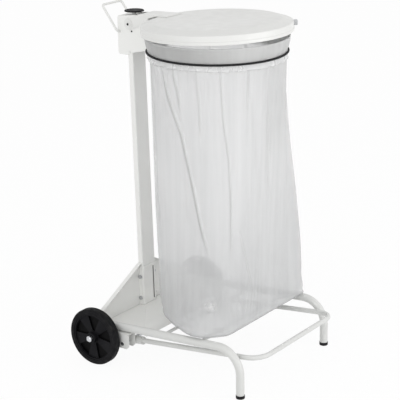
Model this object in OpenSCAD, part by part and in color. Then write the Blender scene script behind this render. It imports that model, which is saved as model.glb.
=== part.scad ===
// Wheeled bin bag holder with a pedal-operated lid.
// The frame stands on two front legs and two rear wheels. A leaning post carries
// a hinge head, a hoop that holds the bag, and the lid. Pressing the pedal turns a
// rocker shaft, whose lever pushes a rod up inside the post and raises the lid.
// Front (pedal) faces -Y, the wheels are at +Y, and the floor is z = 0.

/* [Base frame] */
// Distance between the centres of the two side rails
rail_spacing = 416; // [380:1:440]
// Outside diameter of the rail tube
rail_d = 22; // [20:0.5:24]
// Wall of the rail tube
rail_wall = 1.5; // [1:0.1:2.5]
// Distance from the wheel axle forward to the front legs
leg_reach = 456; // [430:1:500]
// Height of the rail's centreline above the front legs
rail_height = 133; // [126:1:140]
// How far the rails slope down towards the wheels, in degrees
rail_slope = 3.55; // [3:0.05:4]
// Bend radius of the rail where it turns down into the leg
leg_bend_r = 65; // [45:1:75]
// Rail length behind the wheel axle
rail_tail = 26; // [20:1:40]
// Outside diameter of a foot cap
foot_d = 24; // [23:0.1:27]
// Height of a foot cap
foot_h = 9; // [7:0.5:14]
// Thickness of a foot cap's sole
foot_sole = 3; // [2:0.5:5]
// Diameter of the two cross rods
cross_rod_d = 9; // [6:0.5:12]
// Distance of the front cross rod ahead of the axle
front_rod_y = 325; // [300:1:345]
// Distance of the rear cross rod ahead of the axle
rear_rod_y = 206; // [190:1:220]
// Distance of the deck's front edge ahead of the axle
deck_front = 140; // [130:1:160]
// Distance of the deck's rear edge behind the axle
deck_rear = 24; // [20:1:30]
// Sheet thickness of the deck
deck_t = 2; // [1.5:0.1:3]
// Radius of the deck's rounded front
deck_roll_r = 45; // [30:1:60]
// Angle through which the deck's front is rolled down, in degrees
deck_roll = 45; // [30:1:60]

/* [Wheels] */
// Diameter of a wheel over the tyre
wheel_d = 160; // [150:1:166]
// Width of the tyre
tyre_w = 26; // [20:1:30]
// Radial thickness of the tyre
tyre_t = 14; // [10:0.5:18]
// Depth of the recess inside the tyre
disc_recess = 6; // [3:0.5:8]
// Depth of the wedge pockets in the wheel disc
pocket_depth = 4; // [2:0.5:6]
// Number of wedge pockets
pocket_count = 5; // [4:1:8]
// Diameter of the wheel axle
axle_d = 12; // [10:0.5:14]
// Distance from the centre plane to the wheel's outer face
wheel_face_x = 260; // [256:1:270]
// How far the wheel's hub stands proud of the tyre's face
hub_proud = 8; // [3:0.5:10]
// Diameter of the axle's push-on cap
hub_cap_d = 17; // [15:0.5:24]

/* [Axle brackets] */
// Width of a bracket across its two cheeks
bracket_w = 29; // [26:0.5:32]
// Sheet thickness of a bracket
bracket_t = 2.5; // [2:0.1:3.5]
// Height of a bracket's lower edge above the floor
bracket_bottom = 55; // [50:1:58]
// Distance from the centre plane to a bracket's outer face
bracket_face_x = 226; // [222:1:228]

/* [Post] */
// Width of the post
post_w = 56; // [50:1:62]
// Depth of the post
post_depth = 17; // [15:0.5:24]
// Wall of the post
post_wall = 1.5; // [1:0.1:2.5]
// Lean of the post to the rear, in degrees
post_lean = 1.08; // [0.8:0.02:1.4]
// Height of the post's top end above the floor
post_top = 840; // [820:1:842]
// Width of the slit at the foot of the post
slit_w = 6; // [3:0.5:8]
// Length of the slit at the foot of the post
slit_len = 100; // [60:1:110]
// Height of the strap round the post
strap_h = 9; // [6:0.5:14]
// Thickness of the strap round the post
strap_t = 2; // [1.5:0.1:3]

/* [Braces] */
// Height of the braces' top corner above the floor
brace_top = 226; // [200:1:240]
// Height of the braces' outer corner above the floor
brace_low = 136; // [128:1:150]
// Sheet thickness of a brace
brace_t = 2; // [1.5:0.1:3]
// Depth of the folded flanges of a brace
brace_flange = 12; // [8:0.5:15]
// Diameter of a brace bolt's head
bolt_head_d = 9.5; // [8:0.5:10]

/* [Head] */
// Height of the lid's hinge pin above the floor
hinge_z = 909; // [902:1:914]
// Distance of the hinge pin behind the axle
hinge_y = 19; // [17:0.5:22]
// Diameter of the hinge pin
hinge_pin_d = 10; // [8:0.5:11]
// Sheet thickness of the head
head_t = 2; // [1.5:0.1:3]
// Distance of the head's rear face behind the axle
head_rear = 60; // [56:1:66]
// Diameter of the stop disc on the head
stop_d = 54; // [46:1:56]
// Thickness of the stop disc
stop_t = 3; // [2.5:0.5:4.5]
// Wire diameter of the push handle
handle_d = 6.5; // [5:0.5:8]
// Half width of the push handle
handle_half = 41; // [40:0.5:48]
// Distance of the handle's bar behind the axle
handle_y = 103; // [95:1:112]
// Height of the handle's bar above the floor
handle_z = 955; // [945:1:965]

/* [Hoop and bag] */
// Distance of the hoop's centre ahead of the axle
hoop_y = 250; // [246:1:254]
// Outside radius of the hoop at its lower edge
hoop_r = 179; // [170:0.5:183]
// Height of the hoop's lower edge above the floor
hoop_z = 852; // [848:1:856]
// Height of the hoop band
hoop_h = 48; // [40:1:50]
// Growth of the hoop's radius over its height
hoop_taper = 11; // [4:0.5:12]
// Sheet thickness of the hoop
hoop_t = 1.5; // [1:0.1:2]
// Diameter of the elastic strap
elastic_d = 5; // [3:0.5:6]
// Height of the elastic strap above the hoop's lower edge
elastic_up = 10.5; // [8:0.5:14]
// Thickness of the bag's film
film_t = 1; // [0.8:0.1:1.5]
// Height of the bag's hem above the floor
hem_z = 844; // [838:1:850]
// Height of the bag's bottom seam above the floor
bag_bottom = 142; // [136:1:170]
// Half width of the bag at its bottom
bag_half_w = 220; // [190:1:224]
// Reach of the bag's straight bottom edge ahead of the hoop's centre
bag_front = 139; // [110:1:150]

/* [Lid] */
// Radius of the lid at its rim
lid_r = 201; // [198:0.5:204]
// Height of the lid's lower edge when it lies level
lid_z = 902; // [900:1:906]
// Height of the lid's rim band
lid_band = 24; // [18:0.5:28]
// Height of the bevel above the rim band
lid_bevel_h = 9; // [6:0.5:12]
// Width of the bevel, seen from above
lid_bevel_w = 28; // [20:1:36]
// Wall of the lid
lid_wall = 2; // [1.5:0.1:3]
// Lid angle at rest, held up by the folded bag, in degrees
lid_tilt = 1.5; // [0.5:0.1:2]
// Lid angle fully open, from rest, in degrees
lid_open = 75; // [60:1:80]

/* [Pedal] */
// Diameter of the pedal's rod
pedal_d = 13.5; // [11:0.5:15]
// Half width of the pedal between its arm centres
pedal_half = 184; // [178:0.5:184]
// Distance of the pedal's front bar ahead of the axle
pedal_reach = 503; // [490:1:520]
// Height of the pedal's front bar above the floor
pedal_z = 111; // [105:1:116]
// Bend radius of the pedal's corners
pedal_bend_r = 45; // [30:1:60]
// Distance of the rocker shaft ahead of the axle
rocker_y = 79; // [70:1:86]
// Height of the rocker shaft above the floor
rocker_z = 68; // [66:0.5:72]
// Diameter of the rocker shaft
rocker_d = 10; // [8:0.5:12]
// Outside diameter of a pedal socket
socket_d = 22; // [19:0.5:22]
// Pedal travel from rest to pressed, in degrees
pedal_travel = 12; // [9:0.5:12.5]

/* [Hidden] */
$fn = 48;
eps = 0.01;
// Seat gap between solids that touch, and running clearance of a pin in its hole
seat = 0.3;
run = 0.05;

rail_x = rail_spacing / 2;
axle_z = wheel_d / 2;
post_foot_y = -1.2;

// Path of the push handle, as distance behind the axle and height
handle_foot = [52, 886];
handle_corner_r = 8;
handle_bar = [handle_y, handle_z];
handle_rise = atan2(handle_z - handle_foot[1], handle_y - handle_foot[0]);
handle_len = norm(handle_bar - handle_foot);

// Whole model is centred front to back on its own length
front_edge = -(pedal_reach + pedal_d / 2);
rear_edge = max(handle_bar[0] + handle_d / 2, wheel_d / 2);
shift_y = -(front_edge + rear_edge) / 2;

// Height of the rail's centreline at a distance y behind the axle
function rail_z(y) = rail_height - tan(rail_slope) * (y + leg_reach);
// Deck's top surface lies a little above the underside of the rails
function deck_z(y) = rail_z(y) - rail_d / 2 + 5;
// Places along the leaning post
function post_y(z) = post_foot_y + (z - deck_z(0)) * tan(post_lean);
post_mid = post_depth / 2;

// Pedal and push rod kinematics: the lever and the crank each swing evenly
// about the level, so both ends rise by the same travel
rod_foot_y = post_foot_y + post_mid;
lever_len = rocker_y + rod_foot_y;
rod_travel = 2 * lever_len * sin(pedal_travel / 2);
crank_r = rod_travel / (2 * sin(lid_open / 2));
rod_d = 8;
pad_gap = 0.6;
lever_tip_r = 6;
crank_pin_d = 8;

// Hoop radii at a height z
function hoop_out(z) = hoop_r + hoop_taper * (z - hoop_z) / hoop_h;
function hoop_in(z) = hoop_out(z) - hoop_t;
hoop_top = hoop_z + hoop_h;
bag_clear = seat + 0.6;

// Turns a shape drawn in (y, z) and extruded along x into place
module yz(x0, x1) {
    translate([x0, 0, 0])
        rotate([90, 0, 90])
            linear_extrude(x1 - x0)
                children();
}

// Cylinder along X
module bar_x(x0, x1, y, z, d) {
    translate([x0, y, z])
        rotate([0, 90, 0])
            cylinder(d = d, h = x1 - x0);
}

// Points of an arc, for outlines with rounded corners
function arc(cy, cz, r, a0, a1, n = 6) =
    [for (i = [0:n]) [cy + r * cos(a0 + (a1 - a0) * i / n), cz + r * sin(a0 + (a1 - a0) * i / n)]];

module centred() {
    translate([0, shift_y, 0]) children();
}

module mirrored(side) {
    if (side > 0) children();
    else mirror([1, 0, 0]) children();
}

// Base frame

bend_y = -leg_reach + leg_bend_r;
bend_z = rail_height - leg_bend_r * tan(rail_slope) - leg_bend_r / cos(rail_slope);
rail_run = (rail_tail - bend_y - leg_bend_r * sin(rail_slope)) / cos(rail_slope);

module rail_core(d, z0, extra) {
    translate([rail_x, -leg_reach, z0]) cylinder(d = d, h = bend_z - z0 + eps);
    translate([rail_x, bend_y, bend_z])
        rotate([90, 0, 90])
            rotate([0, 0, 90 - rail_slope])
                rotate_extrude(angle = 90 + rail_slope)
                    translate([leg_bend_r, 0]) circle(d = d);
    translate([rail_x, bend_y + leg_bend_r * sin(rail_slope), bend_z + leg_bend_r * cos(rail_slope)])
        rotate([-90 - rail_slope, 0, 0])
            translate([0, 0, -eps]) cylinder(d = d, h = rail_run + extra);
}

module rail(side) {
    color("white")
        mirrored(side)
            difference() {
                rail_core(rail_d, foot_sole, 0);
                rail_core(rail_d - 2 * rail_wall, foot_sole - 1, 1);
            }
}

module foot_cap(side) {
    color("black")
        translate([side * rail_x, -leg_reach, 0])
            difference() {
                union() {
                    cylinder(d1 = foot_d - 1.5, d2 = foot_d, h = 1);
                    translate([0, 0, 1]) cylinder(d = foot_d, h = foot_h - 1);
                }
                translate([0, 0, foot_sole]) cylinder(d = rail_d + 2 * run, h = foot_h);
            }
}

plug_lip = 2;
plug_len = 14;
module rail_plug(side) {
    mirrored(side)
        translate([rail_x, rail_tail, rail_z(rail_tail)])
            rotate([-90 - rail_slope, 0, 0]) {
                cylinder(d = rail_d - 1, h = plug_lip);
                translate([0, 0, -plug_len])
                    cylinder(d = rail_d - 2 * rail_wall - 2 * run, h = plug_len + eps);
            }
}

module rail_plugs() {
    color("black")
        for (side = [-1, 1]) rail_plug(side);
}

rod_half = rail_x - rail_d / 2 - run;
module cross_rod(ahead) {
    color("white") bar_x(-rod_half, rod_half, -ahead, rail_z(-ahead), cross_rod_d);
}

// Folded deck between the rails: flat top, rounded front, turned-down rear edge
deck_half = rail_x - rail_d / 2 - seat;
deck_flange = 16;
rod_hole_d = rod_d + 6;
module deck_profile() {
    yr = -deck_front + deck_roll_r * sin(deck_roll);
    polygon(concat(
        [[deck_rear, -deck_flange], [deck_rear, 0]],
        arc(yr, -deck_roll_r, deck_roll_r, 90, 90 + deck_roll, 12),
        arc(yr, -deck_roll_r, deck_roll_r - deck_t, 90 + deck_roll, 90, 12),
        [[deck_rear - deck_t, -deck_t], [deck_rear - deck_t, -deck_flange]]
    ));
}

module deck() {
    color("white")
        difference() {
            translate([0, 0, deck_z(0)])
                rotate([-rail_slope, 0, 0])
                    yz(-deck_half, deck_half) deck_profile();
            translate([0, rod_foot_y, 0]) cylinder(d = rod_hole_d, h = rail_height + rail_d);
        }
}

// Wheels and their brackets

bracket_in_x = bracket_face_x - bracket_w;
bracket_front = rocker_y + 22;
bracket_back = 20;
module axle_bracket(side) {
    top = -rail_d / 2 - seat;
    low = bracket_bottom - axle_z;
    color("white")
        mirrored(side)
            difference() {
                yz(bracket_in_x, bracket_face_x)
                    polygon([
                        [-bracket_front, rail_z(-bracket_front) + top],
                        [-bracket_front, bracket_bottom + 8],
                        [-bracket_front + 8, bracket_bottom],
                        [bracket_back - 8, bracket_bottom],
                        [bracket_back, bracket_bottom + 8],
                        [bracket_back, rail_z(bracket_back) + top]
                    ]);
                yz(bracket_in_x + bracket_t, bracket_face_x - bracket_t)
                    polygon([
                        [-bracket_front - 1, rail_z(-bracket_front) + top - bracket_t],
                        [-bracket_front - 1, 0],
                        [bracket_back + 1, 0],
                        [bracket_back + 1, rail_z(bracket_back) + top - bracket_t]
                    ]);
                bar_x(bracket_in_x - 1, bracket_face_x + 1, 0, axle_z, axle_d + 2 * run);
                bar_x(bracket_in_x - 1, bracket_face_x + 1, -rocker_y, rocker_z, rocker_d + 2 * run);
            }
}

wheel_in_x = wheel_face_x - tyre_w;
rim_r = wheel_d / 2 - tyre_t;
disc_face_x = wheel_face_x - disc_recess;
hub_face_x = wheel_face_x + hub_proud;
cap_rim = 6;
cap_dome = 3.5;
nut_w = 8;
axle_in_x = bracket_in_x - nut_w - 3;
axle_out_x = hub_face_x + cap_rim;
module wheel_axle(side) {
    color("silver")
        mirrored(side) {
            bar_x(axle_in_x, axle_out_x, 0, axle_z, axle_d);
            // shoulder between the bracket and the wheel
            difference() {
                bar_x(bracket_face_x, wheel_in_x - seat, 0, axle_z, axle_d + 8);
            }
        }
}

module axle_nuts() {
    color("silver")
        for (side = [-1, 1])
            mirrored(side)
                difference() {
                    translate([bracket_in_x - nut_w, 0, axle_z])
                        rotate([0, 90, 0]) cylinder(d = 21, h = nut_w, $fn = 6);
                    bar_x(bracket_in_x - nut_w - 1, bracket_in_x + 1, 0, axle_z, axle_d + 2 * run);
                }
}

disc_t = 8;
module hub_cap(side) {
    cap_x = hub_face_x + seat;
    color("silver")
        mirrored(side)
            translate([cap_x, 0, axle_z])
                rotate([0, 90, 0])
                    difference() {
                        union() {
                            cylinder(d = hub_cap_d, h = cap_rim);
                            translate([0, 0, cap_rim])
                                cylinder(d1 = hub_cap_d, d2 = hub_cap_d - 7, h = cap_dome);
                        }
                        translate([0, 0, -1]) cylinder(d = axle_d + 2 * run, h = 1 + axle_out_x - cap_x + seat);
                    }
}

hub_r = 15;
pocket_in_r = hub_r + 3;
pocket_out_r = rim_r - 5;
pocket_half = 19;
module wheel_disc(side) {
    color([0.08, 0.08, 0.08])
        mirrored(side)
            difference() {
                union() {
                    // rim barrel
                    translate([wheel_in_x + 2, 0, axle_z])
                        rotate([0, 90, 0])
                            difference() {
                                cylinder(r = rim_r - run, h = tyre_w - 4);
                                translate([0, 0, -1]) cylinder(r = rim_r - 4, h = tyre_w);
                            }
                    bar_x(disc_face_x - disc_t, disc_face_x, 0, axle_z, 2 * (rim_r - 3));
                    bar_x(wheel_in_x, hub_face_x - 2, 0, axle_z, 2 * hub_r);
                    translate([hub_face_x - 2, 0, axle_z])
                        rotate([0, 90, 0]) cylinder(r1 = hub_r, r2 = hub_r - 2, h = 2);
                }
                bar_x(wheel_in_x - 1, hub_face_x + 1, 0, axle_z, axle_d + 2 * run);
                for (i = [0:pocket_count - 1])
                    translate([disc_face_x - pocket_depth, 0, axle_z])
                        rotate([0, 90, 0])
                            rotate([0, 0, -90 - 15 + i * 360 / pocket_count])
                                linear_extrude(pocket_depth + 1)
                                    polygon(concat(
                                        arc(0, 0, pocket_in_r, -pocket_half * 0.6, pocket_half * 0.6, 2),
                                        arc(0, 0, pocket_out_r, pocket_half, -pocket_half, 6)
                                    ));
            }
}

tyre_edge = 5;
module tyre(side) {
    mid = tyre_w / 2;
    out_r = wheel_d / 2;
    color([0.12, 0.12, 0.12])
        mirrored(side)
            translate([wheel_in_x, 0, axle_z])
                rotate([0, 90, 0])
                    rotate_extrude()
                        polygon(concat(
                            [[rim_r, 1], [rim_r, tyre_w - 1], [rim_r + 1.5, tyre_w]],
                            [[out_r - tyre_edge, tyre_w]],
                            [[out_r - 1.5, tyre_w - 2], [out_r, tyre_w - tyre_edge]],
                            [[out_r, tyre_edge], [out_r - 1.5, 2], [out_r - tyre_edge, 0]],
                            [[rim_r + 1.5, 0]]
                        ));
}

// Post, strap and braces

module post_frame() {
    translate([0, post_foot_y, deck_z(0)])
        rotate([-post_lean, 0, 0])
            children();
}
post_len = (post_top - deck_z(0)) / cos(post_lean);
post_corner = 3;
slit_x = 15;
slit_up = 8;

module rounded_box_outline(w, d, r) {
    polygon(concat(
        arc(w / 2 - r, r, r, -90, 0, 4), arc(w / 2 - r, d - r, r, 0, 90, 4),
        arc(-w / 2 + r, d - r, r, 90, 180, 4), arc(-w / 2 + r, r, r, 180, 270, 4)
    ));
}

module post() {
    color("white")
        post_frame()
            difference() {
                translate([0, 0, seat + 0.5]) linear_extrude(post_len)
                    rounded_box_outline(post_w, post_depth, post_corner);
                translate([0, post_wall, -1]) linear_extrude(post_len + 4)
                    rounded_box_outline(post_w - 2 * post_wall, post_depth - 2 * post_wall, post_corner - 1);
                translate([slit_x, -1, slit_up]) cube([slit_w, post_wall + 2, slit_len]);
            }
}

strap_z = brace_top - 20;
strap_reach = 5.5;
module post_strap() {
    w = post_w + 2 * strap_t + 2 * seat;
    color("white")
        post_frame()
            translate([0, -strap_t - seat, strap_z - deck_z(0)])
                linear_extrude(strap_h)
                    difference() {
                        intersection() {
                            rounded_box_outline(w, post_depth, post_corner + strap_t);
                            translate([-w, 0]) square([2 * w, strap_reach]);
                        }
                        translate([0, strap_t])
                            rounded_box_outline(w - 2 * strap_t, post_depth, post_corner);
                    }
}

brace_in_x = post_w / 2 + seat;
brace_out_x = rail_x - 3;
brace_y = post_depth + post_foot_y - brace_t;
module brace(side) {
    y0 = brace_y + (brace_top - deck_z(0)) * tan(post_lean) / 2;
    floor_z = deck_z(y0) + seat;
    flange_z = deck_z(y0 + brace_t - brace_flange) + seat;
    run_x = brace_out_x - brace_in_x;
    fall = brace_top - brace_low;
    tilt = atan2(fall, run_x);
    color("white")
        mirrored(side) {
            // upright web facing the front
            translate([0, y0 + brace_t, 0])
                rotate([90, 0, 0])
                    linear_extrude(brace_t)
                        polygon([
                            [brace_in_x, floor_z], [brace_in_x, brace_top],
                            [brace_out_x, brace_low], [brace_out_x, rail_z(y0) + rail_d / 2 + seat],
                            [deck_half - 1, rail_z(y0) + rail_d / 2 + seat], [deck_half - 1, floor_z]
                        ]);
            // flange folded forward along the sloping edge
            translate([brace_in_x, y0 + brace_t - brace_flange, brace_top])
                rotate([0, tilt, 0])
                    translate([brace_t * tan(tilt), 0, -brace_t])
                        cube([run_x / cos(tilt) - brace_t * tan(tilt), brace_flange, brace_t]);
            // flange along the post's side
            translate([brace_in_x, y0 + brace_t - brace_flange, flange_z])
                cube([brace_t, brace_flange, brace_top - flange_z - 2]);
        }
}

bolt_low = 20;
bolt_high = 84;
module brace_bolts() {
    y0 = brace_y + (brace_top - deck_z(0)) * tan(post_lean) / 2;
    x0 = brace_in_x + brace_t;
    color("silver")
        for (side = [-1, 1], up = [bolt_low, bolt_high])
            mirrored(side) {
                translate([x0, y0 - brace_flange / 2, deck_z(0) + up])
                    rotate([0, 90, 0]) {
                        cylinder(d = bolt_head_d + 2, h = 1);
                        cylinder(d = bolt_head_d, h = 5, $fn = 6);
                    }
            }
}

// Head: one folded sheet, a rear web and two cheeks that run forward to the hoop

head_in_x = post_w / 2 + seat;
head_out_x = head_in_x + head_t;
head_low = hoop_z - 29;
head_top = hinge_z + 19;
arm_tip_y = -hoop_y + hoop_out(hoop_z + hoop_h / 2) + 1.2;
module cheek_outline() {
    r = 7;
    polygon(concat(
        arc(head_rear - r, head_low + r, r, 0, -90, 5),
        [[28, head_low], [20, head_low + 6]],
        [[arm_tip_y + 4, hoop_z - 6], [arm_tip_y + 4, hoop_z + 17]],
        [[arm_tip_y - 1, hoop_z + 17], [arm_tip_y - 1, hoop_z + 31]],
        [[arm_tip_y + 9, hoop_z + 36], [-38, hinge_z - 6], [-34, head_top + 2]],
        arc(-24, head_top, 8, 180, 90, 4),
        [[4, head_top + 6], [head_rear - 4, head_top], [head_rear, head_top - 4]]
    ));
}

module head_bracket() {
    top_front = 6;
    color("white")
        difference() {
            union() {
                for (side = [-1, 1])
                    mirrored(side)
                        yz(head_in_x, head_out_x) cheek_outline();
                // rear web
                translate([-head_in_x - 1, head_rear - head_t, head_low + 7])
                    cube([2 * head_in_x + 2, head_t, head_top - head_low - 12]);
                // top plate that carries the stop disc
                translate([-head_in_x - 1, top_front, head_top - head_t])
                    cube([2 * head_in_x + 2, head_rear - top_front - 1, head_t]);
                // front web low down, against the post
                translate([-head_in_x - 1, 8, head_low + 14])
                    cube([2 * head_in_x + 2, head_t, 8]);
            }
            bar_x(-head_out_x - 1, head_out_x + 1, hinge_y, hinge_z, hinge_pin_d + 2 * run);
            translate([0, stop_y, head_top - head_t - 1]) cylinder(d = stem_d + 2 * run, h = head_t + 2);
            // the post passes up inside
            post_frame()
                translate([0, -seat, 0]) linear_extrude(post_len + 4)
                    rounded_box_outline(post_w + 2 * seat, post_depth + 2 * seat, post_corner);
        }
}

module head_bolts() {
    color("white")
        for (side = [-1, 1], up = [9])
            mirrored(side)
                translate([head_out_x, post_y(head_low + up) + post_depth / 2, head_low + up])
                    rotate([0, 90, 0]) cylinder(d1 = 8, d2 = 6, h = 1);
}

stop_y = 25;
stem_d = 12;
stop_z = head_top + 12.5;
module stop_disc() {
    color("black")
        translate([0, stop_y, 0]) {
            translate([0, 0, head_top - head_t]) cylinder(d = stem_d, h = stop_z - stop_t / 2 - head_top + head_t + eps);
            translate([0, 0, stop_z - stop_t / 2]) cylinder(d = stop_d, h = stop_t * 0.6);
            translate([0, 0, stop_z + stop_t * 0.1]) cylinder(d1 = stop_d, d2 = stop_d - 3, h = stop_t * 0.4);
        }
}

// Bent rod handle: its ends turn in to the cheeks, and a bar joins its legs
module push_handle() {
    r = handle_corner_r;
    half = handle_half;
    color("white")
        translate([0, handle_foot[0], handle_foot[1]])
            rotate([handle_rise, 0, 0]) {
                for (side = [-1, 1])
                    mirrored(side) {
                        bar_x(head_out_x, half - r, 0, 0, handle_d);
                        translate([half - r, r, 0])
                            rotate([0, 0, -90])
                                rotate_extrude(angle = 90)
                                    translate([r, 0]) circle(d = handle_d);
                        translate([half, r, 0])
                            rotate([-90, 0, 0]) cylinder(d = handle_d, h = handle_len - 2 * r);
                        translate([half - r, handle_len - r, 0])
                            rotate_extrude(angle = 90)
                                translate([r, 0]) circle(d = handle_d);
                    }
                bar_x(-half + r, half - r, handle_len, 0, handle_d);
            }
}

// Hoop, elastic and bag

module bag_hoop() {
    color("white")
        translate([0, -hoop_y, hoop_z])
            rotate_extrude($fn = 96)
                polygon([
                    [hoop_r - hoop_t, 0], [hoop_r, 0],
                    [hoop_r + hoop_taper, hoop_h], [hoop_r + hoop_taper - hoop_t, hoop_h]
                ]);
}

elastic_r = hoop_out(hoop_z + elastic_up) + bag_clear + film_t + seat + 0.1 + elastic_d / 2;
module elastic_strap() {
    color("black")
        translate([0, -hoop_y, hoop_z + elastic_up])
            rotate_extrude($fn = 96)
                translate([elastic_r, 0]) circle(d = elastic_d, $fn = 16);
}

// Bag film: one closed loft. It rises inside the hoop, folds over its top edge and
// hangs outside it to a hem, which is lifted at the rear where the arms reach the hoop.
bag_n = 80;
body_levels = 20;
collar_levels = 4;
rear_hem_z = hoop_top - 15;
rear_free = 14;
rear_blend = 34;
neck_z = hoop_z;

function smooth(t) = let (c = min(1, max(0, t))) c * c * (3 - 2 * c);
function from_rear(a) = let (d = abs(a - 90)) d > 180 ? 360 - d : d;
function hem_lift(a) = 1 - smooth((from_rear(a) - rear_free) / (rear_blend - rear_free));
function hem_at(a) = hem_z + (rear_hem_z - hem_z) * hem_lift(a);

// Bottom of the bag seen from above, as angle and radius, for a half width of 220:
// a square corner at the front right, and a slack one at the front left
bag_plan = [
    [-180, 195], [-165, 227], [-157, 234], [-148, 222], [-139.5, 214],
    [-32, 262], [-26, 252], [-15, 238], [0, 222], [20, 196], [45, 168], [70, 155],
    [90, 152], [110, 155], [135, 163], [161, 172], [180, 195]
];
function plan_r(a) =
    let (b = a > 180 ? a - 360 : a)
    b > -139.5 && b < -32 ? bag_front / abs(sin(b)) : lookup(b, bag_plan) * bag_half_w / 220;

// Body radius at angle a and height share u, from the bottom 0 to the neck 1
function body_r(a, u, inset) =
    let (
        neck = hoop_in(hoop_z) - seat,
        fade = smooth(u / 0.12) * smooth((1 - u) / 0.1),
        fold = 3.5 * sin(14 * a + 90 * u) + 2.5 * sin(9 * a - 200 * u + 40)
    )
    neck + (plan_r(a) - neck) * smooth(1 - u) - inset - fade * (6 - fold);

function ring_points(level, inset) = [
    for (i = [0:bag_n - 1])
        let (a = 360 * i / bag_n, u = level / body_levels, r = body_r(a, u, inset))
        [r * cos(a), r * sin(a), bag_bottom + inset + (neck_z - bag_bottom - inset) * u]
];

function floor_points(share, inset) = [
    for (i = [0:bag_n - 1])
        let (a = 360 * i / bag_n, r = body_r(a, 0, inset) * share)
        [r * cos(a), r * sin(a), bag_bottom + inset + 10 * (1 - share * share)]
];

function hoop_side(z, r) = [
    for (i = [0:bag_n - 1]) let (a = 360 * i / bag_n) [r * cos(a), r * sin(a), z]
];

function collar_points(v, off) = [
    for (i = [0:bag_n - 1])
        let (
            a = 360 * i / bag_n,
            z = hoop_top + (hem_at(a) - hoop_top) * v,
            frill = v > 0.9 ? (1.2 + 1.2 * sin(20 * a)) * max(0, 1 - 4 * hem_lift(a)) : 0,
            r = hoop_out(max(z, hoop_z)) + off + frill
        )
        [r * cos(a), r * sin(a), z]
];

chord = 1 / cos(180 / bag_n);
bag_rings = concat(
    [for (s = [0.33, 0.7]) floor_points(s, 0)],
    [for (j = [0:body_levels]) ring_points(j, 0)],
    [hoop_side(hoop_top, hoop_in(hoop_top) - seat)],
    [hoop_side(hoop_top + seat, hoop_in(hoop_top))],
    [hoop_side(hoop_top + seat, hoop_out(hoop_top) * chord)],
    [for (j = [0:collar_levels]) collar_points(j / collar_levels, bag_clear)],
    [for (j = [collar_levels:-1:0]) collar_points(j / collar_levels, bag_clear + film_t)],
    [hoop_side(hoop_top + seat + film_t, hoop_out(hoop_top) * chord + 0.3)],
    [hoop_side(hoop_top + seat + film_t, hoop_in(hoop_top) - 0.3)],
    [hoop_side(hoop_top, hoop_in(hoop_top) - seat - film_t)],
    [for (j = [body_levels:-1:0]) ring_points(j, film_t)],
    [for (s = [0.7, 0.33]) floor_points(s, film_t)]
);

module bag() {
    rings = len(bag_rings);
    points = concat(
        [[0, 0, bag_bottom + 10]],
        [for (r = bag_rings) each r],
        [[0, 0, bag_bottom + film_t + 10]]
    );
    last = len(points) - 1;
    faces = concat(
        [for (i = [0:bag_n - 1]) [0, 1 + i, 1 + (i + 1) % bag_n]],
        [for (k = [0:rings - 2], i = [0:bag_n - 1])
            let (p = 1 + k * bag_n, q = p + bag_n, j = (i + 1) % bag_n)
            each [[p + i, q + i, p + j], [p + j, q + i, q + j]]],
        [for (i = [0:bag_n - 1])
            let (p = 1 + (rings - 1) * bag_n)
            [last, p + (i + 1) % bag_n, p + i]]
    );
    color([0.85, 0.87, 0.88, 0.5])
        translate([0, -hoop_y, 0])
            polyhedron(points, faces, convexity = 6);
}

// Lid and its arm, drawn level and turned up to the rest angle about the hinge pin

module on_hinge() {
    translate([0, hinge_y, hinge_z])
        rotate([-lid_tilt, 0, 0])
            translate([0, -hinge_y, -hinge_z])
                children();
}

lid_top = lid_z + lid_band + lid_bevel_h;
lip_h = 9;
lip_out = 1.5;
module lid() {
    r = lid_r - lip_out;
    z1 = lid_band;
    z2 = lid_band + lid_bevel_h;
    color("white")
        on_hinge()
            translate([0, -hoop_y, lid_z])
                rotate_extrude($fn = 96)
                    polygon([
                        [lid_r - lid_wall, 0], [lid_r - 0.6, 0], [lid_r, 1.2], [lid_r, lip_h - 1.5],
                        [r, lip_h], [r, z1 - 1.5], [r - 1.2, z1],
                        [r - lid_bevel_w, z2 - 0.6], [r - lid_bevel_w - 3, z2], [0, z2],
                        [0, z2 - lid_wall], [r - lid_bevel_w - 3, z2 - lid_wall],
                        [r - lid_bevel_w, z2 - 0.6 - lid_wall],
                        [r - lid_wall, z1 - 2], [r - lid_wall, lip_h], [lid_r - lid_wall, lip_h - 1.5]
                    ]);
}

arm_in_x = head_out_x + 1;
arm_t = 2;
arm_out_x = arm_in_x + arm_t;
arm_boss_r = 16;
arm_front = -112;
arm_back = -18;
module lid_arm() {
    seat_z = lid_top + seat;
    rim_y = -hoop_y + lid_r + 1.5;
    color("white")
        on_hinge()
            difference() {
                union() {
                    for (side = [-1, 1])
                        mirrored(side)
                            yz(arm_in_x, arm_out_x) {
                                translate([hinge_y, hinge_z]) circle(r = arm_boss_r);
                                polygon([
                                    [hinge_y - 4, hinge_z + arm_boss_r - 0.5], [arm_back, seat_z + arm_t],
                                    [arm_front, seat_z + arm_t], [arm_front, seat_z],
                                    [-hoop_y + lid_r - lid_bevel_w + 2, seat_z],
                                    [rim_y, lid_z + lid_band + 2], [rim_y, lid_z + lid_band - 12],
                                    [hinge_y - 8, hinge_z - arm_boss_r + 2.5], [hinge_y, hinge_z]
                                ]);
                            }
                    translate([-arm_out_x, arm_front, seat_z])
                        cube([2 * arm_out_x, arm_back - arm_front, arm_t]);
                }
                bar_x(-arm_out_x - 1, arm_out_x + 1, hinge_y, hinge_z, hinge_pin_d + 2 * run);
            }
}

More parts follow.
